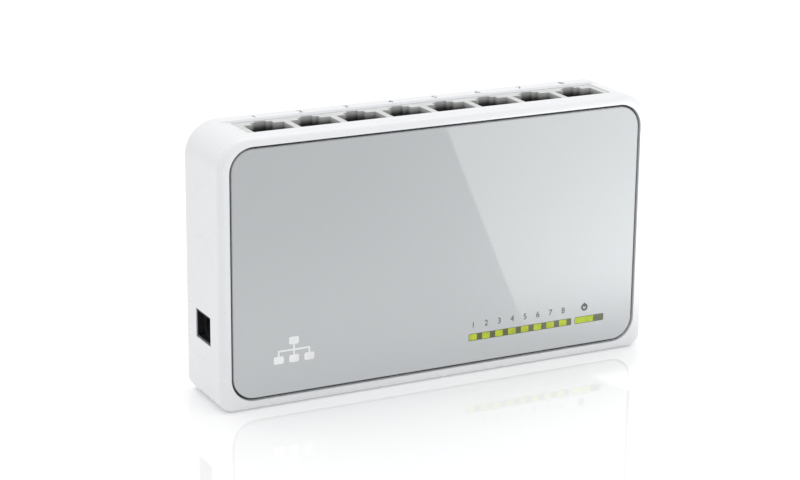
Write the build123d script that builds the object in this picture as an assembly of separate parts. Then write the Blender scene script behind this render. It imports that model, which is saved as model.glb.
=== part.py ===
from build123d import *
import os

# Desktop network switch standing on its long narrow edge, in millimetres.
# +X runs along the case, -Y is the glossy front panel, +Z is up and the ports open upwards.
# The origin is at the centre of the base.

# ---- driving dimensions -------------------------------------------------------------
CASE_W = 134.5
CASE_H = 77.0
CASE_D = 25.0
FOOT_PROUD = 0.5
WALL = 2.0
TOP_CORNER_R = 9.3
BASE_CORNER_R = 4.0
FRONT_EDGE_R = 2.0
BACK_EDGE_R = 0.8

FRONT_Y = -CASE_D / 2
BACK_Y = CASE_D / 2 - FOOT_PROUD
MID_Z = CASE_H / 2

# Front panel in its recess
PANEL_SIDE_INSET = 3.0
PANEL_BASE_INSET = 2.75
PANEL_TOP_INSET = 2.5
PANEL_CORNER_R = 7.0
PANEL_RECESS = 1.3
PANEL_THICK = 0.9
PANEL_GAP = 0.7
ADHESIVE_THICK = 0.15
ADHESIVE_GAP = 0.1
RECESS_FLOOR_Y = FRONT_Y + PANEL_RECESS
FRONT_WALL = 1.5
CAVITY_FRONT_Y = RECESS_FLOOR_Y + FRONT_WALL

# Rear cover
COVER_THICK = 2.0
COVER_GAP = 0.15
COVER_Y = BACK_Y - COVER_THICK

# Circuit board, parallel to the front panel
BOARD_W = 125.0
BOARD_BASE_Z = 4.6
BOARD_TOP_Z = 71.0
BOARD_THICK = 1.6
BOARD_Y = 6.4
BOARD_BACK_Y = BOARD_Y + BOARD_THICK
BOARD_NOTCH = 7.2

# Row of ports
PORT_COUNT = 8
PORT_PITCH = 13.97
PORT_ROW_X = 1.2
JACK_ROW_W = (PORT_COUNT - 1) * PORT_PITCH + 15.8
JACK_FRONT_Y = -6.5
JACK_LENGTH = 20.5
TROUGH_DEPTH = 0.5
TROUGH_FRONT_Y = -7.4
TROUGH_BACK_Y = 7.4
TROUGH_END_SPREAD = 9.0
TROUGH_FLOOR_Z = CASE_H - TROUGH_DEPTH
JACK_TOP_Z = TROUGH_FLOOR_Z - 0.1
JACK_BASE_Z = JACK_TOP_Z - JACK_LENGTH
POCKET_W = 12.0
POCKET_FRONT_Y = -4.9
POCKET_BACK_Y = 2.7
POCKET_DEPTH = 15.3
LATCH_STEP_W = 6.4
LATCH_STEP_Y = 4.6
LATCH_SLOT_W = 3.6
LATCH_SLOT_Y = 5.8
LATCH_DEPTH = 9.0

# Contact springs in each port
CONTACT_COUNT = 8
CONTACT_PITCH = 1.02
WIRE = 0.42
PIVOT_Y = -3.7
PIVOT_Z = JACK_TOP_Z - 1.5
ARM_REACH = 8.2
ARM_INWARD = 1.7
CARRIER_Y = -4.05
CARRIER_GAP = 0.03
CARRIER_W = 8.8
CARRIER_SETBACK = 0.5

# Power inlet in the left end
INLET_Z = 21.65
INLET_HOLE_D = 10.2
INLET_HOLE_H = 8.3
DC_WIDTH = 9.0
DC_LENGTH = 14.0
DC_FRONT_Y = -4.6
DC_FACE_X = -(CASE_W / 2 - WALL) + 0.1
DC_BORE_R = 3.15
DC_BORE_DEPTH = 10.0
DC_PIN_R = 1.05
DC_SHANK_R = 1.3
NOSE_GAP = 0.08
NOSE_WALL = 0.5
NOSE_SETBACK = 0.25
DC_PIN_SETBACK = 2.0
LEAF_THICK = 0.3
LEAF_W = 2.2
LEAF_SLOT_W = 3.0
LEAF_ROLL_R = 0.35
LEAF_ROLL_Y = 4.4

# Indicator strip in the panel
LED_Z = 11.0
LED_STRIP_LEFT = 9.1
LED_PITCH = 4.25
LED_WINDOW_W = 2.5
LED_WINDOW_H = 1.8
STRIP_BORDER = 0.12
STRIP_CORNER_R = 0.3
STRIP_GAP = 0.04
POWER_WINDOW_W = 6.2
POWER_STRIP_W = 9.8
POWER_STRIP_GAP = 1.1
GUIDE_W = 2.0
GUIDE_H = 1.5
GUIDE_BACK_Y = 4.9
LED_SIZE = 1.6
LED_THICK = 0.9

# Fixings
BOSS_R = 3.0
BOSS_X = 61.6
BOSS_LOW_Z = 6.4
BOSS_HIGH_Z = 67.9
SCREW_R = 1.15
PILOT_R = 0.95
SCREW_HEAD_R = 2.2
SCREW_HEAD_H = 1.5
STANDOFF_R = 2.6
STANDOFF_PLACES = [(-45.0, 47.0), (48.0, 47.0), (0.0, 7.4)]
FOOT_R = 5.0
FOOT_THICK = 1.3
FOOT_X = 51.0
FOOT_LOW_Z = 13.0
FOOT_HIGH_Z = 64.0

# Ventilation slots in the rear cover
VENT_W = 1.6
VENT_H = 13.0
VENT_PITCH = 4.0
VENT_COUNT = 13
VENT_ROWS_Z = (15.0, 62.0)

# Parts on the board
SWITCH_CHIP_X = 2.0
SWITCH_CHIP_Z = 33.0
SWITCH_CHIP_SIZE = 14.0
LEADS_PER_SIDE = 32
LEAD_PITCH = 0.4
TRANSFORMER_Z = 47.5
TRANSFORMER_X = [-34.0, -14.0, 14.0, 34.0]
CAPACITOR_PLACES = [(-38.0, 31.0), (-28.5, 31.0)]
REGULATOR_X = -26.0
REGULATOR_Z = 18.0

# Blank rating label
LABEL_W = 62.0
LABEL_H = 24.0
LABEL_THICK = 0.15
LABEL_RECESS = 0.25


# ---- helpers ---------------------------------------------------------------------------
def block(low, high):
    """Box between two opposite corners."""
    size = [b - a for a, b in zip(low, high)]
    centre = [(a + b) / 2 for a, b in zip(low, high)]
    return Pos(*centre) * Box(*size)


def rod_y(x, z, radius, y_from, y_to):
    """Round bar along Y."""
    middle = Pos(x, (y_from + y_to) / 2, z)
    return middle * Rot(90, 0, 0) * Cylinder(radius, abs(y_to - y_from))


def rod_x(y, z, radius, x_from, x_to):
    """Round bar along X."""
    middle = Pos((x_from + x_to) / 2, y, z)
    return middle * Rot(0, 90, 0) * Cylinder(radius, abs(x_to - x_from))


def plate(left, right, low, high, y_from, y_to, top_r, base_r):
    """Plate in the XZ plane with its own radius on the top and on the bottom corners."""
    solid = block((left, y_from, low), (right, y_to, high))
    edges = solid.edges().filter_by(Axis.Y).sort_by(Axis.Z)
    solid = fillet(edges[:2], base_r)
    edges = solid.edges().filter_by(Axis.Y).filter_by(GeomType.LINE).sort_by(Axis.Z)
    return fillet(edges[-2:], top_r)


def bars_y(places, radius, y_from, y_to):
    """List of round bars along Y at several places."""
    return [rod_y(x, z, radius, y_from, y_to) for x, z in places]


def join(shapes):
    """One shape out of several that touch."""
    total = shapes[0]
    for shape in shapes[1:]:
        total = total + shape
    return total


def corner_places(x, low_z, high_z):
    return [(-x, low_z), (x, low_z), (-x, high_z), (x, high_z)]


def port_x(number):
    """Middle of a port, counted from 1 at the left."""
    return PORT_ROW_X + (number - 1 - (PORT_COUNT - 1) / 2) * PORT_PITCH


def led_x(number):
    """Middle of a port indicator, counted from 1 at the left."""
    return LED_STRIP_LEFT + STRIP_BORDER + LED_WINDOW_W / 2 + (number - 1) * LED_PITCH


PORTS = range(1, PORT_COUNT + 1)
BOSSES = corner_places(BOSS_X, BOSS_LOW_Z, BOSS_HIGH_Z)
FEET = corner_places(FOOT_X, FOOT_LOW_Z, FOOT_HIGH_Z)
STRIP_RIGHT = LED_STRIP_LEFT + PORT_COUNT * LED_PITCH
POWER_LEFT = STRIP_RIGHT + POWER_STRIP_GAP
POWER_RIGHT = POWER_LEFT + POWER_STRIP_W
POWER_X = POWER_LEFT + STRIP_BORDER + POWER_WINDOW_W / 2
PANEL_LEFT = -CASE_W / 2 + PANEL_SIDE_INSET
PANEL_LOW = PANEL_BASE_INSET
PANEL_HIGH = CASE_H - PANEL_TOP_INSET
PANEL_BACK_Y = RECESS_FLOOR_Y - ADHESIVE_THICK
PANEL_FRONT_Y = PANEL_BACK_Y - PANEL_THICK


# ---- case ------------------------------------------------------------------------------
def trough():
    """Sunken channel in the top face, with sloping ends, that the ports open into."""
    half_floor = JACK_ROW_W / 2 + 0.6
    floor = Pos(PORT_ROW_X, (TROUGH_FRONT_Y + TROUGH_BACK_Y) / 2, TROUGH_FLOOR_Z)
    width = TROUGH_BACK_Y - TROUGH_FRONT_Y
    lower = floor * Rectangle(2 * half_floor, width - 1.2)
    half_mouth = half_floor + TROUGH_END_SPREAD
    upper = floor * Pos(0, 0, TROUGH_DEPTH + 1) * Rectangle(2 * half_mouth, width + 0.8)
    return loft([lower, upper])


def front_shell():
    half = CASE_W / 2
    body = plate(-half, half, 0, CASE_H, FRONT_Y, BACK_Y, TOP_CORNER_R, BASE_CORNER_R)
    body = fillet(body.faces().sort_by(Axis.Y)[0].edges(), FRONT_EDGE_R)
    body = fillet(body.faces().sort_by(Axis.Y)[-1].edges(), BACK_EDGE_R)
    body = body - plate(
        -half + WALL, half - WALL, WALL, CASE_H - WALL,
        CAVITY_FRONT_Y, BACK_Y + 1, TOP_CORNER_R - WALL, BASE_CORNER_R - WALL,
    )
    body = body - plate(
        PANEL_LEFT, -PANEL_LEFT, PANEL_LOW, PANEL_HIGH,
        FRONT_Y - 1, RECESS_FLOOR_Y, PANEL_CORNER_R, PANEL_CORNER_R,
    )
    # The floor of the trough is thickened from inside, then opened for the jack row.
    row_left = PORT_ROW_X - JACK_ROW_W / 2
    row_right = PORT_ROW_X + JACK_ROW_W / 2
    body = body + block(
        (row_left - 2.5, TROUGH_FRONT_Y - 1.0, CASE_H - WALL - 1.8),
        (half - TOP_CORNER_R + 1.0, TROUGH_BACK_Y + 1.2, CASE_H - WALL),
    )
    body = body - trough()
    body = body - block(
        (row_left - 0.2, JACK_FRONT_Y - 0.2, CASE_H - 6),
        (row_right + 0.2, BOARD_Y + 0.2, CASE_H + 1),
    )
    # Screw bosses at the corners and standoffs for the board
    bosses = bars_y(BOSSES, BOSS_R, CAVITY_FRONT_Y - 0.2, COVER_Y)
    standoffs = bars_y(STANDOFF_PLACES, STANDOFF_R, CAVITY_FRONT_Y - 0.2, BOARD_Y)
    body = join([body] + bosses + standoffs)
    for pilot in bars_y(BOSSES, PILOT_R, COVER_Y - 9, COVER_Y + 1):
        body = body - pilot
    for pilot in bars_y(STANDOFF_PLACES, PILOT_R, BOARD_Y - 7, BOARD_Y + 1):
        body = body - pilot
    # Power inlet and indicator openings
    body = body - block(
        (-half - 1, -INLET_HOLE_D / 2, INLET_Z - INLET_HOLE_H / 2),
        (-half + WALL + 0.5, INLET_HOLE_D / 2, INLET_Z + INLET_HOLE_H / 2),
    )
    body = body - block(
        (LED_STRIP_LEFT, RECESS_FLOOR_Y - 1, LED_Z - LED_WINDOW_H / 2),
        (POWER_RIGHT, CAVITY_FRONT_Y + 1, LED_Z + LED_WINDOW_H / 2),
    )
    return body


def rear_cover():
    half = CASE_W / 2 - WALL - COVER_GAP
    low = WALL + COVER_GAP
    cover = plate(
        -half, half, low, CASE_H - low, COVER_Y, BACK_Y,
        TOP_CORNER_R - low, BASE_CORNER_R - low,
    )
    cover = cover - block(
        (-LABEL_W / 2 - 0.3, BACK_Y - LABEL_RECESS, MID_Z - LABEL_H / 2 - 0.3),
        (LABEL_W / 2 + 0.3, BACK_Y + 1, MID_Z + LABEL_H / 2 + 0.3),
    )
    foot_depth = FOOT_THICK - FOOT_PROUD
    for recess in bars_y(FEET, FOOT_R + 0.15, BACK_Y - foot_depth, BACK_Y + 1):
        cover = cover - recess
    for hole in bars_y(BOSSES, SCREW_R + 0.2, COVER_Y - 1, BACK_Y + 1):
        cover = cover - hole
    for sink in bars_y(BOSSES, SCREW_HEAD_R + 0.2, COVER_Y + 0.5, BACK_Y + 1):
        cover = cover - sink
    for row_z in VENT_ROWS_Z:
        for index in range(VENT_COUNT):
            x = (index - (VENT_COUNT - 1) / 2) * VENT_PITCH
            slot = Pos(x, 0, row_z) * Rot(90, 0, 0) * extrude(
                SlotOverall(VENT_H, VENT_W, rotation=90), amount=-BACK_Y - 1
            )
            cover = cover - slot
    return cover


def case_screws():
    """Four pan head screws that hold the rear cover to the bosses."""
    screws = []
    head_y = COVER_Y + 0.5
    for x, z in BOSSES:
        head = rod_y(x, z, SCREW_HEAD_R, head_y, head_y + SCREW_HEAD_H - 0.2)
        head = fillet(head.edges().sort_by(Axis.Y)[-1], 0.5)
        shank = rod_y(x, z, PILOT_R, COVER_Y - 7, head_y)
        drive = cross_recess(x, z, head_y + SCREW_HEAD_H - 0.2)
        screws.append(head + shank - drive)
    return Compound(children=screws)


def cross_recess(x, z, top_y):
    """Cross-head drive, 0.8 mm deep."""
    bars = [Box(2.4, 1.6, 0.5), Box(0.5, 1.6, 2.4)]
    return Pos(x, top_y, z) * join(bars)


def board_screws():
    """Three screws that hold the board to the standoffs."""
    screws = []
    for x, z in STANDOFF_PLACES:
        head = rod_y(x, z, SCREW_HEAD_R, BOARD_BACK_Y, BOARD_BACK_Y + SCREW_HEAD_H)
        head = fillet(head.edges().sort_by(Axis.Y)[-1], 0.5)
        shank = rod_y(x, z, PILOT_R, BOARD_Y - 5, BOARD_BACK_Y)
        screws.append(head + shank - cross_recess(x, z, BOARD_BACK_Y + SCREW_HEAD_H))
    return Compound(children=screws)


def rubber_feet():
    feet = []
    for x, z in FEET:
        foot = rod_y(x, z, FOOT_R, BACK_Y + FOOT_PROUD - FOOT_THICK, BACK_Y + FOOT_PROUD)
        feet.append(fillet(foot.edges().sort_by(Axis.Y)[-1], 0.4))
    return Compound(children=feet)


def rating_label():
    base_y = BACK_Y - LABEL_RECESS
    return plate(
        -LABEL_W / 2, LABEL_W / 2, MID_Z - LABEL_H / 2, MID_Z + LABEL_H / 2,
        base_y, base_y + LABEL_THICK, 1.5, 1.5,
    )


# ---- front panel and indicators --------------------------------------------------------
def indicator_strips(y_from, y_to, grow):
    """Two rounded strips, one for the ports and one for power, as separate solids."""
    tall = LED_WINDOW_H / 2 + STRIP_BORDER + grow
    corner = STRIP_CORNER_R + grow
    strips = []
    for left, right in ((LED_STRIP_LEFT, STRIP_RIGHT), (POWER_LEFT, POWER_RIGHT)):
        strips.append(plate(
            left - grow, right + grow, LED_Z - tall, LED_Z + tall, y_from, y_to, corner, corner,
        ))
    return strips


def front_panel():
    panel = plate(
        PANEL_LEFT + PANEL_GAP, -PANEL_LEFT - PANEL_GAP,
        PANEL_LOW + PANEL_GAP, PANEL_HIGH - PANEL_GAP,
        PANEL_FRONT_Y, PANEL_BACK_Y, PANEL_CORNER_R - PANEL_GAP, PANEL_CORNER_R - PANEL_GAP,
    )
    panel = fillet(panel.faces().sort_by(Axis.Y)[0].edges(), 0.3)
    for strip in indicator_strips(PANEL_FRONT_Y - 1, PANEL_BACK_Y + 1, STRIP_GAP):
        panel = panel - strip
    return panel


def panel_adhesive():
    """Dark foam sheet that covers the floor of the recess, so it shows in the groove."""
    corner = PANEL_CORNER_R - ADHESIVE_GAP
    sheet = plate(
        PANEL_LEFT + ADHESIVE_GAP, -PANEL_LEFT - ADHESIVE_GAP,
        PANEL_LOW + ADHESIVE_GAP, PANEL_HIGH - ADHESIVE_GAP,
        PANEL_BACK_Y, RECESS_FLOOR_Y, corner, corner,
    )
    return sheet - block(
        (LED_STRIP_LEFT - 1, PANEL_BACK_Y - 1, LED_Z - LED_WINDOW_H / 2 - 1),
        (POWER_RIGHT + 1, RECESS_FLOOR_Y + 1, LED_Z + LED_WINDOW_H / 2 + 1),
    )


def window(centre_x, width, grow=0.0):
    """Window as deep as the panel."""
    tall = LED_WINDOW_H / 2 + grow
    half = width / 2 + grow
    return block(
        (centre_x - half, PANEL_FRONT_Y, LED_Z - tall),
        (centre_x + half, PANEL_BACK_Y, LED_Z + tall),
    )


def port_windows(grow=0.0):
    return [window(led_x(number), LED_WINDOW_W, grow) for number in PORTS]


def power_window(grow=0.0):
    return window(POWER_X, POWER_WINDOW_W, grow)


def indicator_mask():
    """Two dark strips, one with a window for each port and one with the power window."""
    clearance = 0.02
    strips = indicator_strips(PANEL_FRONT_Y, PANEL_BACK_Y, 0.0)
    for opening in port_windows(clearance):
        strips[0] = strips[0] - opening
    strips[1] = strips[1] - power_window(clearance)
    return Compound(children=strips)


def light_guide(places):
    """Clear bars that carry light from the board to the windows, tied together behind the wall."""
    bars = []
    for x in places:
        bars.append(block(
            (x - GUIDE_W / 2, PANEL_BACK_Y + 0.1, LED_Z - GUIDE_H / 2),
            (x + GUIDE_W / 2, GUIDE_BACK_Y, LED_Z + GUIDE_H / 2),
        ))
    tie = block(
        (places[0] - GUIDE_W, CAVITY_FRONT_Y + 0.2, LED_Z - GUIDE_H),
        (places[-1] + GUIDE_W, CAVITY_FRONT_Y + 1.4, LED_Z + GUIDE_H),
    )
    return join([tie] + bars)


def led_chips(places):
    chips = []
    for x in places:
        chips.append(block(
            (x - LED_SIZE / 2, BOARD_Y - LED_THICK, LED_Z - LED_SIZE / 4),
            (x + LED_SIZE / 2, BOARD_Y, LED_Z + LED_SIZE / 4),
        ))
    return Compound(children=chips)


# ---- ports -----------------------------------------------------------------------------
def jack_housing():
    """One moulding with a row of ports: contacts at the front, latch slots on the board side."""
    housing = block(
        (PORT_ROW_X - JACK_ROW_W / 2, JACK_FRONT_Y, JACK_BASE_Z),
        (PORT_ROW_X + JACK_ROW_W / 2, BOARD_Y, JACK_TOP_Z),
    )
    for number in PORTS:
        x = port_x(number)
        pocket = block(
            (x - POCKET_W / 2, POCKET_FRONT_Y, JACK_TOP_Z - POCKET_DEPTH),
            (x + POCKET_W / 2, POCKET_BACK_Y, JACK_TOP_Z + 1),
        )
        step = block(
            (x - LATCH_STEP_W / 2, POCKET_BACK_Y - 0.1, JACK_TOP_Z - LATCH_DEPTH),
            (x + LATCH_STEP_W / 2, LATCH_STEP_Y, JACK_TOP_Z + 1),
        )
        slot = block(
            (x - LATCH_SLOT_W / 2, LATCH_STEP_Y - 0.1, JACK_TOP_Z - LATCH_DEPTH),
            (x + LATCH_SLOT_W / 2, LATCH_SLOT_Y, JACK_TOP_Z + 1),
        )
        housing = housing - pocket - step - slot
    return housing


def contact_carriers():
    """Dark insert at the front of each pocket, grooved behind the contact springs."""
    carriers = []
    low_z = JACK_TOP_Z - POCKET_DEPTH + CARRIER_GAP
    for number in PORTS:
        x = port_x(number)
        carrier = block(
            (x - CARRIER_W / 2, POCKET_FRONT_Y + CARRIER_GAP, low_z),
            (x + CARRIER_W / 2, CARRIER_Y, JACK_TOP_Z - CARRIER_SETBACK),
        )
        for wire_x in contact_places(x):
            groove = block(
                (wire_x - 0.3, CARRIER_Y - 0.4, low_z - 1),
                (wire_x + 0.3, CARRIER_Y + 1, PIVOT_Z + 0.6),
            )
            carrier = carrier - groove
        carriers.append(carrier)
    return Compound(children=carriers)


def contact_places(centre_x):
    first = centre_x - (CONTACT_COUNT - 1) / 2 * CONTACT_PITCH
    return [first + index * CONTACT_PITCH for index in range(CONTACT_COUNT)]


def contact_springs(number):
    """The eight spring wires of one port, leaning into the pocket from their bend near the mouth."""
    wires = []
    for x in contact_places(port_x(number)):
        path = Polyline(
            (x, PIVOT_Y, PIVOT_Z),
            (x, PIVOT_Y + ARM_INWARD, PIVOT_Z - ARM_REACH),
            (x, PIVOT_Y + ARM_INWARD - 0.5, PIVOT_Z - ARM_REACH - 1.6),
        )
        start = Plane(origin=path @ 0, z_dir=path % 0, x_dir=(1, 0, 0))
        arm = sweep(start * Rectangle(WIRE, WIRE), path=path, transition=Transition.RIGHT)
        bend = rod_x(PIVOT_Y, PIVOT_Z, 0.3, x - WIRE / 2, x + WIRE / 2)
        wires.append(arm + bend)
    return Compound(children=wires)


def jack_pins():
    """Solder tails in two staggered rows behind each port."""
    pins = []
    row_z = (JACK_BASE_Z + 2.4, JACK_BASE_Z + 5.0)
    for number in PORTS:
        for index, x in enumerate(contact_places(port_x(number))):
            z = row_z[index % 2]
            pins.append(block((x - 0.22, BOARD_Y, z - 0.22), (x + 0.22, BOARD_BACK_Y + 1.0, z + 0.22)))
    return Compound(children=pins)


# ---- power inlet -----------------------------------------------------------------------
def inlet_nose(shrink, x_from, x_to):
    """Block that fills the hole in the end of the case, less a margin all round."""
    half_y = INLET_HOLE_D / 2 - shrink
    half_z = INLET_HOLE_H / 2 - shrink
    return block((x_from, -half_y, INLET_Z - half_z), (x_to, half_y, INLET_Z + half_z))


def dc_jack_housing():
    """Black body with a hollow nose in the hole, a bore for the plug and a slot for the leaf."""
    rear_x = DC_FACE_X + DC_LENGTH
    low_z = INLET_Z - DC_WIDTH / 2
    mouth_x = -CASE_W / 2 + NOSE_SETBACK
    housing = block((DC_FACE_X, DC_FRONT_Y, low_z), (rear_x, BOARD_Y, low_z + DC_WIDTH))
    housing = housing + inlet_nose(NOSE_GAP, mouth_x, DC_FACE_X + 0.5)
    housing = housing - inlet_nose(NOSE_GAP + NOSE_WALL, mouth_x - 1, DC_FACE_X)
    housing = housing - rod_x(0, INLET_Z, DC_BORE_R, DC_FACE_X - 1, DC_FACE_X + DC_BORE_DEPTH)
    # Slot beside the bore for the leaf spring
    housing = housing - block(
        (DC_FACE_X + 1.6, 0, INLET_Z - LEAF_SLOT_W / 2),
        (rear_x - 1.0, 5.0, INLET_Z + LEAF_SLOT_W / 2),
    )
    return housing - rod_x(0, INLET_Z, DC_SHANK_R, DC_FACE_X, rear_x + 1)


def dc_centre_pin():
    tip_x = DC_FACE_X + DC_PIN_SETBACK
    end_x = DC_FACE_X + DC_LENGTH + 0.8
    shoulder_x = DC_FACE_X + DC_BORE_DEPTH
    pin = rod_x(0, INLET_Z, DC_PIN_R, tip_x, shoulder_x)
    pin = fillet(pin.edges().sort_by(Axis.X)[0], 0.5)
    return pin + rod_x(0, INLET_Z, DC_SHANK_R, shoulder_x, end_x)


def dc_leaf_spring():
    """Spring strip that presses on the barrel of the plug, hinged at its rear end."""
    rear_x = DC_FACE_X + DC_LENGTH - 1.6
    front_x = DC_FACE_X + 2.2
    path = Polyline(
        (rear_x, LEAF_ROLL_Y, INLET_Z),
        (rear_x - 4.5, 3.7, INLET_Z),
        (rear_x - 7.0, 2.75, INLET_Z),
        (front_x, 3.7, INLET_Z),
    )
    start = Plane(origin=path @ 0, z_dir=path % 0, x_dir=(0, 0, 1))
    strip = sweep(start * Rectangle(LEAF_W, LEAF_THICK), path=path, transition=Transition.RIGHT)
    return strip + Pos(rear_x, LEAF_ROLL_Y, INLET_Z) * Cylinder(LEAF_ROLL_R, LEAF_W)


def dc_terminals():
    """Three solder tabs through the board."""
    rear_x = DC_FACE_X + DC_LENGTH
    tabs = []
    for x, z in ((rear_x - 0.6, INLET_Z), (rear_x - 4.0, INLET_Z + 3.6), (rear_x - 8.0, INLET_Z - 3.6)):
        tabs.append(block((x - 0.3, BOARD_Y, z - 0.8), (x + 0.3, BOARD_BACK_Y + 1.0, z + 0.8)))
    return Compound(children=tabs)


# ---- circuit board ---------------------------------------------------------------------
def circuit_board():
    board = block((-BOARD_W / 2, BOARD_Y, BOARD_BASE_Z), (BOARD_W / 2, BOARD_BACK_Y, BOARD_TOP_Z))
    for x, z in BOSSES:
        notch = Pos(x, BOARD_Y, z) * Box(BOARD_NOTCH, 6, BOARD_NOTCH)
        board = board - notch
    for hole in bars_y(STANDOFF_PLACES, SCREW_R + 0.3, BOARD_Y - 1, BOARD_BACK_Y + 1):
        board = board - hole
    holes = jack_pins().solids() + dc_terminals().solids()
    for pin in holes:
        board = board - pin
    return board


def chip(x, z, width, height, thick):
    """Flat package on the component side of the board."""
    return block(
        (x - width / 2, BOARD_Y - thick, z - height / 2),
        (x + width / 2, BOARD_Y, z + height / 2),
    )


def switch_chip():
    body = chip(SWITCH_CHIP_X, SWITCH_CHIP_Z, SWITCH_CHIP_SIZE, SWITCH_CHIP_SIZE, 1.5)
    return chamfer(body.faces().sort_by(Axis.Y)[0].edges(), 0.25)


def switch_chip_leads():
    """Leads on all four sides of the main chip."""
    leads = []
    reach = SWITCH_CHIP_SIZE / 2 + 0.5
    for index in range(LEADS_PER_SIDE):
        along = (index - (LEADS_PER_SIDE - 1) / 2) * LEAD_PITCH
        for side in (-1, 1):
            leads.append(chip(SWITCH_CHIP_X + along, SWITCH_CHIP_Z + side * reach, 0.2, 1.0, 0.25))
            leads.append(chip(SWITCH_CHIP_X + side * reach, SWITCH_CHIP_Z + along, 1.0, 0.2, 0.25))
    return Compound(children=leads)


def transformers():
    """Four isolation transformer modules, each serving two ports."""
    modules = []
    for x in TRANSFORMER_X:
        body = chip(x, TRANSFORMER_Z, 15.2, 7.2, 5.6)
        modules.append(chamfer(body.faces().sort_by(Axis.Y)[0].edges(), 0.4))
    return Compound(children=modules)


def transformer_leads():
    leads = []
    for x in TRANSFORMER_X:
        for index in range(12):
            lead_x = x + (index - 5.5) * 1.2
            for side in (-1, 1):
                leads.append(chip(lead_x, TRANSFORMER_Z + side * 4.1, 0.5, 1.0, 0.4))
    return Compound(children=leads)


def crystal():
    body = chip(21.0, 30.0, 11.0, 4.6, 3.4)
    edges = body.edges().filter_by(Axis.Y)
    return fillet(edges, 2.2)


def capacitor_cans():
    cans = []
    for x, z in CAPACITOR_PLACES:
        can = rod_y(x, z, 4.0, BOARD_Y - 11.0, BOARD_Y - 0.8)
        cans.append(fillet(can.edges().sort_by(Axis.Y)[0], 0.5))
    return Compound(children=cans)


def capacitor_bases():
    bases = []
    for x, z in CAPACITOR_PLACES:
        bases.append(chip(x, z, 8.4, 8.4, 0.8))
    return Compound(children=bases)


def power_inductor():
    body = chip(-37.0, 18.0, 7.0, 7.0, 3.2)
    return chamfer(body.edges().filter_by(Axis.Y), 1.2)


def regulator_chip():
    return chip(REGULATOR_X, REGULATOR_Z, 5.0, 4.0, 1.5)


def regulator_leads():
    leads = []
    for index in range(4):
        lead_x = REGULATOR_X + (index - 1.5) * 1.27
        for side in (-1, 1):
            leads.append(chip(lead_x, REGULATOR_Z + side * 2.5, 0.4, 1.0, 0.3))
    return Compound(children=leads)


def power_diode():
    return chip(-46.0, 12.5, 4.6, 2.8, 2.2)


def chip_capacitors():
    """Small decoupling capacitors in a ring round the main chip."""
    parts = []
    for side in (-1, 1):
        for index in range(5):
            along = (index - 2) * 2.0
            parts.append(chip(SWITCH_CHIP_X + along, SWITCH_CHIP_Z + side * 10.2, 1.6, 0.8, 0.8))
            parts.append(chip(SWITCH_CHIP_X + side * 10.2, SWITCH_CHIP_Z + along, 0.8, 1.6, 0.8))
    return Compound(children=parts)


def chip_resistors():
    """One series resistor above each indicator, and a row of eight under the transformers."""
    parts = []
    for number in PORTS:
        parts.append(chip(led_x(number), LED_Z + 4.5, 1.6, 0.8, 0.5))
        parts.append(chip(-48 + number * 10.6, 41.5, 1.6, 0.8, 0.5))
    parts.append(chip(POWER_X, LED_Z + 4.5, 1.6, 0.8, 0.5))
    return Compound(children=parts)


# ---- output ----------------------------------------------------------------------------
def make_nodes():
    led_places = [led_x(number) for number in PORTS]
    nodes = {
        "front_shell": front_shell(),
        "rear_cover": rear_cover(),
        "case_screws": case_screws(),
        "rubber_feet": rubber_feet(),
        "rating_label": rating_label(),
        "front_panel": front_panel(),
        "panel_adhesive": panel_adhesive(),
        "indicator_mask": indicator_mask(),
        "port_indicator_windows": Compound(children=port_windows()),
        "power_indicator_window": power_window(),
        "port_light_guide": light_guide(led_places),
        "power_light_guide": light_guide([POWER_X]),
        "port_leds": led_chips(led_places),
        "power_led": led_chips([POWER_X]),
        "circuit_board": circuit_board(),
        "board_screws": board_screws(),
        "jack_housing": jack_housing(),
        "contact_carriers": contact_carriers(),
        "jack_pins": jack_pins(),
        "dc_jack_housing": dc_jack_housing(),
        "dc_centre_pin": dc_centre_pin(),
        "dc_leaf_spring": dc_leaf_spring(),
        "dc_terminals": dc_terminals(),
        "switch_chip": switch_chip(),
        "switch_chip_leads": switch_chip_leads(),
        "transformers": transformers(),
        "transformer_leads": transformer_leads(),
        "crystal": crystal(),
        "capacitor_cans": capacitor_cans(),
        "capacitor_bases": capacitor_bases(),
        "power_inductor": power_inductor(),
        "regulator_chip": regulator_chip(),
        "regulator_leads": regulator_leads(),
        "power_diode": power_diode(),
        "chip_capacitors": chip_capacitors(),
        "chip_resistors": chip_resistors(),
    }
    for number in PORTS:
        nodes[f"contact_springs_{number}"] = contact_springs(number)
    return nodes


os.makedirs("parts", exist_ok=True)
for name, shape in make_nodes().items():
    export_step(shape, f"parts/{name}.step")
    print(f"{name}: {len(shape.solids())} solid(s), {shape.volume:.2f} mm3")
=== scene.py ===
import math

import bpy
from mathutils import Matrix, Vector


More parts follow.
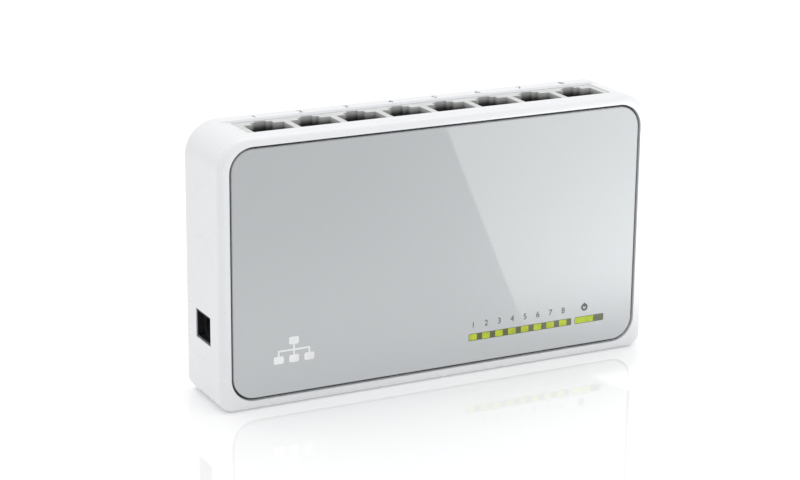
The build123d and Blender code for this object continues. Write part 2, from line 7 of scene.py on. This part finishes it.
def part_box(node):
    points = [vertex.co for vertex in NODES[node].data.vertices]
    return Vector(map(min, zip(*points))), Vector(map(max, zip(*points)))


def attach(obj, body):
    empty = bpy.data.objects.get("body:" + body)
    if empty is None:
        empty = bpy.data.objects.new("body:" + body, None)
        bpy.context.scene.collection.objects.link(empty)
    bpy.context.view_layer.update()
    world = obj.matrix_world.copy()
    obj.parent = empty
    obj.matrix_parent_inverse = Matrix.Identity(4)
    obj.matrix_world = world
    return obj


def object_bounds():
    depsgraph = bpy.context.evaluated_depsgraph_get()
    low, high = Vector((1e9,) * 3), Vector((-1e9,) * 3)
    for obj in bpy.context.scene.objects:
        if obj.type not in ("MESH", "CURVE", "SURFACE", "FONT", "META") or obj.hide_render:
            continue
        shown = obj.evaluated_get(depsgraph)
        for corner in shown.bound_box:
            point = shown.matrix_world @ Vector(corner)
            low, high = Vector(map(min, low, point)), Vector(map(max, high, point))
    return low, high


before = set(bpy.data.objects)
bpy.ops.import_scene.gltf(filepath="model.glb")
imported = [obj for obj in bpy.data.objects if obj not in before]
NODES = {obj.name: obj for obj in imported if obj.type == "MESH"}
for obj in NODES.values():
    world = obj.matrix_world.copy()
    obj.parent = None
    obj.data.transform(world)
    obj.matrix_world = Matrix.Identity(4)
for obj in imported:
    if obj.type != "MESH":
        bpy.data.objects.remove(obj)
cad_low, cad_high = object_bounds()
BODY = "switch_body"
MM = 0.001

# ---- view --------------------------------------------------------------------------------
VIEW_AZIMUTH = 27.63
VIEW_ELEVATION = 16.77
VIEW_DISTANCE = 0.659
VIEW_LENS = 104.2
VIEW_ROLL = 0.73
VIEW_PAN = -0.54
VIEW_TILT = -0.05

# ---- reflector card, flat on the floor in front and to the right -----------------------------
CARD_NEAR_Y = -0.025
CARD_FULL_Y = -0.1
CARD_STRENGTH = 3.4
CARD_EDGE_NEAR = (0.0375, -0.025)
CARD_EDGE_FAR = (0.152, -0.300)
CARD_RIGHT = 0.45

# ---- places read from the frame ------------------------------------------------------------
PANEL_LOW, PANEL_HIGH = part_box("front_panel")
WINDOWS_LOW, WINDOWS_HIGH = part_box("port_indicator_windows")
POWER_LOW, POWER_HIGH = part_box("power_indicator_window")
SHELL_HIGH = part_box("front_shell")[1]
JACK_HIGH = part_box("jack_housing")[1]
PORTS = range(1, 9)

# ---- sizes of marks and depths of shading --------------------------------------------------
WINDOW_W = 2.5 * MM
PRINT_THICK = 0.04 * MM
MARK_LIFT = 2.9 * MM
PANEL_DIGIT_H = 1.75 * MM
PORT_DIGIT_H = 2.2 * MM
BADGE_FROM_LEFT = 18 * MM
BADGE_LIFT = 4 * MM
PANEL_LOW_EDGE_GAIN = 1.22
PORT_SHADE_START = 0.1 * MM
PORT_SHADE_DEPTH = 2.4 * MM
PORT_SHADE_GAIN = 0.07
CARD_HEIGHT = 0.5 * MM
FLOOR_REACH = 3.0


# ---- material helpers ----------------------------------------------------------------------
class Shader:
    """A Principled material with short ways to add procedural detail."""

    def __init__(self, name, colour, roughness):
        self.material = bpy.data.materials.new(name)
        self.material.use_nodes = True
        self.tree = self.material.node_tree
        self.surface = self.tree.nodes["Principled BSDF"]
        self.surface.inputs["Base Color"].default_value = (*colour, 1)
        self.surface.inputs["Roughness"].default_value = roughness
        self.coordinates = self.add("ShaderNodeTexCoord")
        self.height = None

    def add(self, kind, **settings):
        node = self.tree.nodes.new(kind)
        for name, value in settings.items():
            setattr(node, name, value)
        return node

    def link(self, output, target):
        self.tree.links.new(output, target)

    def set(self, **values):
        for name, value in values.items():
            self.surface.inputs[name.replace("_", " ")].default_value = value
        return self

    def noise(self, scale, detail=3.0, stretch=(1, 1, 1)):
        mapping = self.add("ShaderNodeMapping")
        mapping.inputs["Scale"].default_value = stretch
        self.link(self.coordinates.outputs["Object"], mapping.inputs["Vector"])
        noise = self.add("ShaderNodeTexNoise")
        noise.inputs["Scale"].default_value = scale
        noise.inputs["Detail"].default_value = detail
        self.link(mapping.outputs["Vector"], noise.inputs["Vector"])
        return noise.outputs["Fac"]

    def spread(self, factor, low, high):
        """Maps a 0 to 1 factor to a range."""
        ranged = self.add("ShaderNodeMapRange")
        ranged.inputs["From Min"].default_value = 0.3
        ranged.inputs["From Max"].default_value = 0.7
        ranged.inputs["To Min"].default_value = low
        ranged.inputs["To Max"].default_value = high
        self.link(factor, ranged.inputs["Value"])
        return ranged.outputs["Result"]

    def vary_roughness(self, scale, low, high, stretch=(1, 1, 1)):
        factor = self.noise(scale, stretch=stretch)
        self.link(self.spread(factor, low, high), self.surface.inputs["Roughness"])
        return self

    def vary_colour(self, scale, first, second, stretch=(1, 1, 1)):
        mix = self.add("ShaderNodeMix", data_type="RGBA")
        mix.inputs["A"].default_value = (*first, 1)
        mix.inputs["B"].default_value = (*second, 1)
        factor = self.spread(self.noise(scale, stretch=stretch), 0.0, 1.0)
        self.link(factor, mix.inputs["Factor"])
        self.link(mix.outputs["Result"], self.surface.inputs["Base Color"])
        return self

    def shade_by_height(self, high_z, low_z, at_high, at_low):
        """Multiplies the base colour by a factor that changes smoothly with height."""
        split = self.add("ShaderNodeSeparateXYZ")
        self.link(self.coordinates.outputs["Object"], split.inputs["Vector"])
        ranged = self.add("ShaderNodeMapRange", interpolation_type="SMOOTHSTEP")
        ranged.inputs["From Min"].default_value = high_z
        ranged.inputs["From Max"].default_value = low_z
        ranged.inputs["To Min"].default_value = at_high
        ranged.inputs["To Max"].default_value = at_low
        self.link(split.outputs["Z"], ranged.inputs["Value"])
        scaled = self.add("ShaderNodeVectorMath", operation="SCALE")
        base = self.surface.inputs["Base Color"]
        self.link(base.links[0].from_socket, scaled.inputs[0])
        self.link(ranged.outputs["Result"], scaled.inputs["Scale"])
        self.link(scaled.outputs["Vector"], base)
        return self

    def relief(self, scale, depth_mm, stretch=(1, 1, 1)):
        """Surface texture of a given depth; several add up."""
        bump = self.add("ShaderNodeBump")
        bump.inputs["Strength"].default_value = 1.0
        bump.inputs["Distance"].default_value = depth_mm * MM
        self.link(self.noise(scale, stretch=stretch), bump.inputs["Height"])
        if self.height is not None:
            self.link(self.height, bump.inputs["Normal"])
        self.height = bump.outputs["Normal"]
        self.link(self.height, self.surface.inputs["Normal"])
        return self


def gloss_shell():
    """White glossy moulding: slight waviness, a hint of grain and faint handling marks."""
    shader = Shader("shell_white_gloss", (0.79, 0.80, 0.82), 0.22)
    shader.set(Specular_IOR_Level=0.5, Coat_Weight=0.3, Coat_Roughness=0.06)
    shader.vary_colour(35, (0.775, 0.787, 0.808), (0.805, 0.815, 0.833))
    shader.vary_roughness(160, 0.18, 0.3)
    shader.relief(60, 0.002)
    return shader.relief(2500, 0.0004).material


def satin_cover():
    """Back cover: the same white plastic with a fine spark-eroded grain."""
    shader = Shader("cover_white_satin", (0.78, 0.79, 0.80), 0.42)
    shader.vary_colour(40, (0.76, 0.77, 0.785), (0.80, 0.81, 0.82))
    shader.vary_roughness(220, 0.38, 0.5)
    return shader.relief(2600, 0.012).material


def panel_finish():
    """Silver grey panel under a clear gloss coat."""
    shader = Shader("panel_grey_gloss", (0.44, 0.46, 0.47), 0.35)
    shader.set(Coat_Weight=1.0, Coat_Roughness=0.02, Coat_IOR=1.5, Specular_IOR_Level=0.2)
    shader.vary_colour(2600, (0.43, 0.45, 0.46), (0.45, 0.47, 0.48))
    shader.shade_by_height(PANEL_HIGH.z, PANEL_LOW.z, 1.0, PANEL_LOW_EDGE_GAIN)
    return shader.vary_roughness(900, 0.32, 0.4).material


def plain(name, colour, roughness, grain=0.01, grain_scale=1800, tone=0.06, **settings):
    """Moulded or cast surface with tone variation and a fine grain."""
    shader = Shader(name, colour, roughness).set(**settings)
    darker = tuple(channel * (1 - tone) for channel in colour)
    lighter = tuple(min(1, channel * (1 + tone)) for channel in colour)
    shader.vary_colour(300, darker, lighter)
    shader.vary_roughness(400, roughness * 0.85, min(1, roughness * 1.15))
    return shader.relief(grain_scale, grain).material


def metal(name, colour, roughness, stretch=(1, 1, 1)):
    """Bare or plated metal with drawing lines along one direction."""
    shader = Shader(name, colour, roughness).set(Metallic=1.0)
    darker = tuple(channel * 0.9 for channel in colour)
    shader.vary_colour(900, darker, colour, stretch)
    shader.vary_roughness(1500, roughness * 0.75, roughness * 1.3, stretch)
    return shader.relief(2200, 0.002, stretch).material


def jack_plastic():
    """Light grey moulding that darkens inside the ports."""
    shader = Shader("jack_grey", (0.60, 0.61, 0.61), 0.4)
    shader.vary_colour(300, (0.57, 0.58, 0.58), (0.63, 0.64, 0.64))
    start_z = JACK_HIGH.z - PORT_SHADE_START
    end_z = JACK_HIGH.z - PORT_SHADE_DEPTH
    shader.shade_by_height(start_z, end_z, 1.0, PORT_SHADE_GAIN)
    return shader.relief(1800, 0.005).material


def solder_mask():
    """Green board with copper tracks showing through the mask."""
    shader = Shader("board_green_mask", (0.01, 0.10, 0.045), 0.3)
    tracks = shader.add(
        "ShaderNodeTexVoronoi", feature="DISTANCE_TO_EDGE", distance="MANHATTAN",
    )
    tracks.inputs["Scale"].default_value = 260
    shader.link(shader.coordinates.outputs["Object"], tracks.inputs["Vector"])
    ramp = shader.add("ShaderNodeValToRGB")
    ramp.color_ramp.elements[0].position = 0.05
    ramp.color_ramp.elements[0].color = (0.03, 0.22, 0.09, 1)
    ramp.color_ramp.elements[1].position = 0.09
    ramp.color_ramp.elements[1].color = (0.008, 0.085, 0.035, 1)
    shader.link(tracks.outputs["Distance"], ramp.inputs["Fac"])
    shader.link(ramp.outputs["Color"], shader.surface.inputs["Base Color"])
    shader.set(Coat_Weight=0.5, Coat_Roughness=0.15)
    return shader.relief(900, 0.01).material


def lit_window(name, colour, glow):
    """Tinted window with light behind it, mottled by its grain."""
    shader = Shader(name, colour, 0.3)
    shader.set(Emission_Color=(*colour, 1), Emission_Strength=glow)
    shader.set(Coat_Weight=0.3, Coat_Roughness=0.05, Specular_IOR_Level=0.2)
    dim = tuple(channel * 0.6 for channel in colour)
    shader.vary_colour(420, dim, colour)
    return shader.relief(700, 0.01).material


def clear_guide():
    """Clear acrylic bars with polished faces and faint flow lines."""
    shader = Shader("guide_clear", (0.95, 0.97, 0.98), 0.08)
    shader.set(Transmission_Weight=0.9, IOR=1.49)
    shader.vary_roughness(500, 0.04, 0.14)
    return shader.relief(300, 0.003, (1, 0.1, 1)).material


def floor_finish():
    """Pale polished sweep that mirrors the case faintly."""
    shader = Shader("floor_pale", (0.93, 0.93, 0.93), 0.4)
    shader.set(Coat_Weight=1.0, Coat_IOR=1.75, Coat_Roughness=0.04, Specular_IOR_Level=0.2)
    shader.set(Emission_Color=(1, 1, 1, 1), Emission_Strength=0.14)
    return shader.vary_roughness(6, 0.35, 0.45).material


def card_glow():
    """Bright white card that fades out towards the case, for a soft end to its mirror image."""
    shader = Shader("card_glow", (1, 1, 1), 0.5)
    split = shader.add("ShaderNodeSeparateXYZ")
    shader.link(shader.coordinates.outputs["Object"], split.inputs["Vector"])
    fade = shader.add("ShaderNodeMapRange", interpolation_type="SMOOTHSTEP")
    fade.inputs["From Min"].default_value = CARD_NEAR_Y
    fade.inputs["From Max"].default_value = CARD_FULL_Y
    shader.link(split.outputs["Y"], fade.inputs["Value"])
    clear = shader.add("ShaderNodeBsdfTransparent")
    glow = shader.add("ShaderNodeEmission")
    glow.inputs["Strength"].default_value = CARD_STRENGTH
    mix = shader.add("ShaderNodeMixShader")
    shader.link(fade.outputs["Result"], mix.inputs["Fac"])
    shader.link(clear.outputs["BSDF"], mix.inputs[1])
    shader.link(glow.outputs["Emission"], mix.inputs[2])
    output = shader.tree.nodes["Material Output"]
    shader.link(mix.outputs["Shader"], output.inputs["Surface"])
    return shader.material


# ---- materials on the CAD nodes ------------------------------------------------------------
def dress(material, *names):
    for name in names:
        data = NODES[name].data
        data.materials.clear()
        data.materials.append(material)


def dress_nodes():
    dress(gloss_shell(), "front_shell")
    dress(satin_cover(), "rear_cover")
    dress(panel_finish(), "front_panel")
    dress(plain("adhesive_foam", (0.06, 0.06, 0.065), 0.8), "panel_adhesive")
    dress(metal("screw_zinc", (0.62, 0.62, 0.63), 0.32), "case_screws", "board_screws")
    dress(plain("foot_rubber", (0.025, 0.025, 0.027), 0.75, grain=0.02), "rubber_feet")
    dress(plain("label_satin", (0.62, 0.63, 0.64), 0.45, grain=0.002, tone=0.015), "rating_label")
    dress(plain("mask_olive", (0.06, 0.075, 0.01), 0.25, Coat_Weight=1.0), "indicator_mask")
    dress(lit_window("window_green", (0.42, 0.50, 0.03), 0.3), "port_indicator_windows")
    dress(lit_window("window_power", (0.40, 0.50, 0.03), 0.35), "power_indicator_window")
    dress(clear_guide(), "port_light_guide", "power_light_guide")
    dress(plain("led_package", (0.8, 0.8, 0.7), 0.4), "port_leds", "power_led")
    dress(solder_mask(), "circuit_board")
    dress(jack_plastic(), "jack_housing")
    dress(plain("carrier_dark", (0.02, 0.02, 0.022), 0.5), "contact_carriers")
    dress(plain("jack_black", (0.012, 0.012, 0.013), 0.4), "dc_jack_housing")
    nickel = metal("pin_nickel", (0.72, 0.70, 0.66), 0.22)
    dress(nickel, "dc_centre_pin", "dc_leaf_spring", "crystal")
    tinned = metal("pin_tin", (0.66, 0.66, 0.64), 0.35)
    dress(
        tinned,
        "jack_pins", "dc_terminals", "switch_chip_leads", "transformer_leads", "regulator_leads",
    )
    epoxy = plain("chip_epoxy", (0.018, 0.018, 0.02), 0.5, grain=0.015)
    dress(epoxy, "switch_chip", "transformers", "regulator_chip", "power_diode", "capacitor_bases")
    dress(metal("can_aluminium", (0.78, 0.78, 0.79), 0.3, (1, 0.2, 1)), "capacitor_cans")
    dress(plain("ferrite_dark", (0.04, 0.04, 0.043), 0.6, grain=0.02), "power_inductor")
    dress(plain("chip_tan", (0.42, 0.30, 0.18), 0.45), "chip_capacitors")
    dress(plain("resistor_black", (0.02, 0.02, 0.022), 0.35), "chip_resistors")
    gold = metal("contact_gold", (0.83, 0.62, 0.25), 0.2)
    dress(gold, *[f"contact_springs_{number}" for number in PORTS])


# ---- printed and moulded marks -------------------------------------------------------------
def mesh_from(name, build):
    """Object from a function that fills lists of points and faces."""
    points, faces = [], []
    build(points, faces)
    mesh = bpy.data.meshes.new(name)
    mesh.from_pydata(points, [], faces)
    mesh.update()
    piece = bpy.data.objects.new(name, mesh)
    bpy.context.collection.objects.link(piece)
    return piece


def digit(name, value, height, thickness):
    """Mesh of one digit, lying in the XY plane, centred on the origin."""
    curve = bpy.data.curves.new(name, "FONT")
    curve.body = str(value)
    curve.size = height / 0.7
    curve.extrude = thickness / 2
    curve.align_x = "CENTER"
    text = bpy.data.objects.new(name + ".text", curve)
    bpy.context.collection.objects.link(text)
    bpy.context.view_layer.update()
    depsgraph = bpy.context.evaluated_depsgraph_get()
    mesh = bpy.data.meshes.new_from_object(text.evaluated_get(depsgraph))
    bpy.data.objects.remove(text)
    bpy.data.curves.remove(curve)
    mesh.name = name
    low = Vector([min(v.co[axis] for v in mesh.vertices) for axis in range(3)])
    high = Vector([max(v.co[axis] for v in mesh.vertices) for axis in range(3)])
    mesh.transform(Matrix.Translation(-(low + high) / 2))
    piece = bpy.data.objects.new(name, mesh)
    bpy.context.collection.objects.link(piece)
    return piece


def put(piece, material, turn, place):
    """Places a mark on the case and makes it ride with it."""
    piece.data.transform(Matrix.Translation(place) @ turn)
    piece.data.materials.clear()
    piece.data.materials.append(material)
    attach(piece, BODY)
    return piece


FACING_FRONT = Matrix.Rotation(math.radians(90), 4, "X")
FACING_UP = Matrix.Identity(4)
FRONT_MARK_Y = PANEL_LOW.y - PRINT_THICK / 2


def panel_digits():
    """Numbers 1 to 8 above the port indicators."""
    ink = plain("print_dark_grey", (0.09, 0.095, 0.10), 0.5, grain=0.001)
    pitch = (WINDOWS_HIGH.x - WINDOWS_LOW.x - WINDOW_W) / 7
    for number in PORTS:
        x = WINDOWS_LOW.x + WINDOW_W / 2 + (number - 1) * pitch
        place = Vector((x, FRONT_MARK_Y, WINDOWS_HIGH.z + MARK_LIFT))
        mark = digit(f"panel_digit_{number}", number, PANEL_DIGIT_H, PRINT_THICK)
        put(mark, ink, FACING_FRONT, place)


def ring(name, radius, width, thickness, sides=40):
    """Flat ring in the XY plane."""

    def build(points, faces):
        for z in (-thickness / 2, thickness / 2):
            for reach in (radius - width / 2, radius + width / 2):
                for side in range(sides):
                    angle = 2 * math.pi * side / sides
                    points.append((reach * math.cos(angle), reach * math.sin(angle), z))
        for side in range(sides):
            after = (side + 1) % sides
            low_in, low_out, high_in, high_out = (row * sides for row in range(4))
            faces.append((low_in + side, low_in + after, low_out + after, low_out + side))
            faces.append((high_in + side, high_out + side, high_out + after, high_in + after))
            faces.append((low_out + side, low_out + after, high_out + after, high_out + side))
            faces.append((low_in + after, low_in + side, high_in + side, high_in + after))

    return mesh_from(name, build)


def bar(name, width, height, thickness, corner=0.25, steps=5):
    """Flat bar with rounded corners in the XY plane."""
    radius = corner * min(width, height)

    def build(points, faces):
        outline = []
        for turn, (sx, sy) in enumerate(((1, 1), (-1, 1), (-1, -1), (1, -1))):
            for step in range(steps + 1):
                angle = math.radians(90 * (turn + step / steps))
                outline.append((
                    sx * (width / 2 - radius) + radius * math.cos(angle),
                    sy * (height / 2 - radius) + radius * math.sin(angle),
                ))
        count = len(outline)
        points += [(x, y, -thickness / 2) for x, y in outline]
        points += [(x, y, thickness / 2) for x, y in outline]
        faces.append(tuple(reversed(range(count))))
        faces.append(tuple(range(count, 2 * count)))
        for index in range(count):
            after = (index + 1) % count
            faces.append((index, after, count + after, count + index))

    return mesh_from(name, build)


def power_symbol():
    """Ring with a bar above the power window."""
    ink = plain("print_symbol_grey", (0.10, 0.105, 0.11), 0.5, grain=0.001)
    centre = Vector((
        (POWER_LOW.x + POWER_HIGH.x) / 2,
        FRONT_MARK_Y,
        WINDOWS_HIGH.z + MARK_LIFT,
    ))
    circle = ring("power_ring", 0.8 * MM, 0.6 * MM, PRINT_THICK)
    put(circle, ink, FACING_FRONT, centre)
    above = centre + Vector((0, 0, 0.7 * MM))
    stroke = bar("power_bar", 0.5 * MM, 1.2 * MM, 1.2 * PRINT_THICK)
    put(stroke, ink, FACING_FRONT, above)


def plain_badge():
    """Generic white network symbol at the lower left of the panel: three boxes and their links."""
    ink = plain("print_white", (0.86, 0.87, 0.88), 0.4, grain=0.001)
    centre = Vector((PANEL_LOW.x + BADGE_FROM_LEFT, FRONT_MARK_Y, WINDOWS_HIGH.z + BADGE_LIFT))
    pieces = [
        ("badge_box_top", 3.0, 2.2, 0.0, 2.6),
        ("badge_box_left", 3.0, 2.2, -4.6, -2.6),
        ("badge_box_middle", 3.0, 2.2, 0.0, -2.6),
        ("badge_box_right", 3.0, 2.2, 4.6, -2.6),
        ("badge_stem", 0.5, 2.2, 0.0, 0.8),
        ("badge_link", 9.7, 0.5, 0.0, -0.05),
        ("badge_drop_left", 0.5, 1.4, -4.6, -0.9),
        ("badge_drop_middle", 0.5, 1.4, 0.0, -0.9),
        ("badge_drop_right", 0.5, 1.4, 4.6, -0.9),
    ]
    for layer, (name, width, height, x, z) in enumerate(pieces):
        thickness = PRINT_THICK * (1 + 0.05 * layer)
        place = centre + Vector((x * MM, 0, z * MM))
        box = bar(name, width * MM, height * MM, thickness)
        put(box, ink, FACING_FRONT, place)


def port_digits():
    """Numbers 1 to 8 raised on the rim behind the ports."""
    raised = plain("moulded_digit", (0.22, 0.225, 0.23), 0.4, grain=0.001)
    rim_y = (JACK_HIGH.y + SHELL_HIGH.y) / 2
    for number in PORTS:
        springs_low, springs_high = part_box(f"contact_springs_{number}")
        x = (springs_low.x + springs_high.x) / 2
        place = Vector((x, rim_y, SHELL_HIGH.z - PRINT_THICK / 2))
        mark = digit(f"port_digit_{number}", number, PORT_DIGIT_H, PRINT_THICK)
        put(mark, raised, FACING_UP, place)


dress_nodes()
panel_digits()
power_symbol()
plain_badge()
port_digits()


# ---- stage -----------------------------------------------------------------------------------
def sweep_floor():
    """Large flat floor under the case."""

    def build(points, faces):
        for x, y in ((-1, -1), (1, -1), (1, 1), (-1, 1)):
            points.append((x * FLOOR_REACH, y * FLOOR_REACH, 0))
        faces.append((0, 1, 2, 3))

    floor = mesh_from("studio_floor", build)
    floor.data.materials.append(floor_finish())


def reflector_card():
    """Its slanting left edge shows in the glossy panel as the edge of a brighter area."""

    def build(points, faces):
        points += [
            (*CARD_EDGE_NEAR, CARD_HEIGHT),
            (*CARD_EDGE_FAR, CARD_HEIGHT),
            (CARD_RIGHT, CARD_EDGE_FAR[1], CARD_HEIGHT),
            (CARD_RIGHT, CARD_EDGE_NEAR[1], CARD_HEIGHT),
        ]
        faces.append((0, 1, 2, 3))

    card = mesh_from("reflector_card", build)
    card.data.materials.append(card_glow())


def softbox(name, place, aim, size, power):
    light = bpy.data.lights.new(name, "AREA")
    light.shape = "RECTANGLE"
    light.size, light.size_y = size
    light.energy = power
    lamp = bpy.data.objects.new(name, light)
    bpy.context.collection.objects.link(lamp)
    lamp.location = place
    lamp.rotation_mode = "QUATERNION"
    lamp.rotation_quaternion = (Vector(aim) - Vector(place)).to_track_quat("-Z", "Y")
    return lamp


def studio_light():
    world = bpy.data.worlds.new("studio")
    world.use_nodes = True
    world.node_tree.nodes["Background"].inputs["Color"].default_value = (1, 1, 1, 1)
    world.node_tree.nodes["Background"].inputs["Strength"].default_value = 0.92
    bpy.context.scene.world = world
    middle = (0, 0, 0.04)
    softbox("key_top", (0.1, 0.1, 1.2), middle, (1.2, 1.0), 4.0)


def camera():
    azimuth = math.radians(VIEW_AZIMUTH)
    elevation = math.radians(VIEW_ELEVATION)
    back = Vector((
        -math.sin(azimuth) * math.cos(elevation),
        -math.cos(azimuth) * math.cos(elevation),
        math.sin(elevation),
    ))
    data = bpy.data.cameras.new("camera")
    data.sensor_width = 36
    data.lens = VIEW_LENS
    data.clip_start = 0.02
    data.clip_end = 20
    view = bpy.data.objects.new("camera", data)
    bpy.context.collection.objects.link(view)
    middle = (cad_low + cad_high) / 2
    facing = (-back).to_track_quat("-Z", "Y").to_matrix().to_4x4()
    pan = Matrix.Rotation(-math.radians(VIEW_PAN), 4, "Y")
    tilt = Matrix.Rotation(math.radians(VIEW_TILT), 4, "X")
    roll = Matrix.Rotation(math.radians(VIEW_ROLL), 4, "Z")
    place = Matrix.Translation(middle + back * VIEW_DISTANCE)
    view.matrix_world = place @ facing @ pan @ tilt @ roll
    bpy.context.scene.camera = view


sweep_floor()
reflector_card()
studio_light()
camera()
bpy.context.scene.view_settings.view_transform = "Standard"
bpy.context.view_layer.update()
